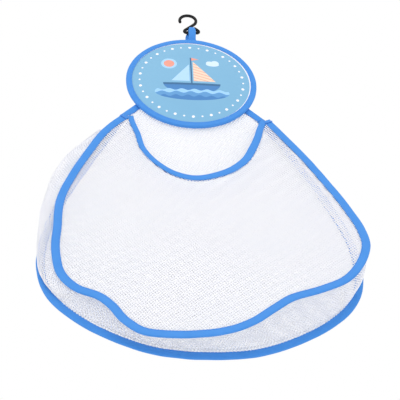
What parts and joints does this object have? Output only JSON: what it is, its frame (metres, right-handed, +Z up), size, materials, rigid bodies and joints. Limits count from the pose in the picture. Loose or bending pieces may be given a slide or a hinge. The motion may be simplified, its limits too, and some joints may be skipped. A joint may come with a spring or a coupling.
{
  "type": "bath toy organizer",
  "caption": "Hanging mesh bag for bath toys with a round padded head, ribbon loop, wire hook, wired hoops and a scooped mouth.",
  "frame": {"origin": "inside of the hook's crown, where the rail that carries it would lie", "axes": "+Z up as it hangs, -Y out of the printed front, +X to the right of someone who looks at the front"},
  "size_m": [0.3548, 0.0506, 0.556],
  "materials": {
    "blue_tape": "woven binding tape, matt",
    "white_mesh": "open polyester mesh",
    "printed_cloth": "smooth printed cloth",
    "foam": "soft foam sheet",
    "black_wire": "black coated wire, slight sheen",
    "spring_wire": "drawn spring wire",
    "white_bead": "smooth",
    "blue_thread": "dense stitching"
  },
  "bodies": {
    "hook": {"hook": "black_wire"},
    "ribbon": {"hanging_loop": "blue_tape"},
    "head": {"loop_tack": "blue_thread", "head_back_panel": "printed_cloth", "head_pad": "foam", "head_front_panel": "printed_cloth", "head_binding": "blue_tape", "neck_seam_tape": "blue_tape"},
    "bag": {"rear_mesh_panel": "white_mesh", "neck_binding_left": "blue_tape", "neck_binding_right": "blue_tape", "rear_hoop_binding": "blue_tape", "rear_hoop_wire": "spring_wire", "rear_wire_bead_left": "white_bead", "rear_wire_bead_right": "white_bead", "gusset_left": "white_mesh", "gusset_bottom": "white_mesh", "gusset_right": "white_mesh"},
    "front": {"front_mesh_panel": "white_mesh", "front_hoop_binding": "blue_tape", "front_hoop_wire": "spring_wire", "front_wire_bead_left": "white_bead", "front_wire_bead_right": "white_bead", "neckline_binding": "blue_tape", "shoulder_tack_left": "blue_thread", "shoulder_tack_right": "blue_thread"}
  },
  "joints": [
    {"name": "loop_swing", "type": "hinge", "parent": "hook", "child": "ribbon", "pos_m": [0.00393, 0, -0.0308], "axis": [1, 0, 0], "range_deg": [-70, 70]},
    {"name": "loop_fold", "type": "hinge", "parent": "ribbon", "child": "head", "pos_m": [0.00393, 0.001, -0.049], "axis": [1, 0, 0], "range_deg": [-70, 70], "deforming": ["hanging_loop"]},
    {"name": "head_fold", "type": "hinge", "parent": "head", "child": "bag", "pos_m": [0, 0.0027, -0.16015], "axis": [1, 0, 0], "range_deg": [-1, 100]},
    {"name": "mouth_open", "type": "hinge", "parent": "bag", "child": "front", "pos_m": [0, -0.0006, -0.187], "axis": [1, 0, 0], "range_deg": [-3.5, 2.5], "stiffness_Nm_per_rad": 0.05, "deforming": ["gusset_left", "gusset_bottom", "gusset_right"]}
  ]
}
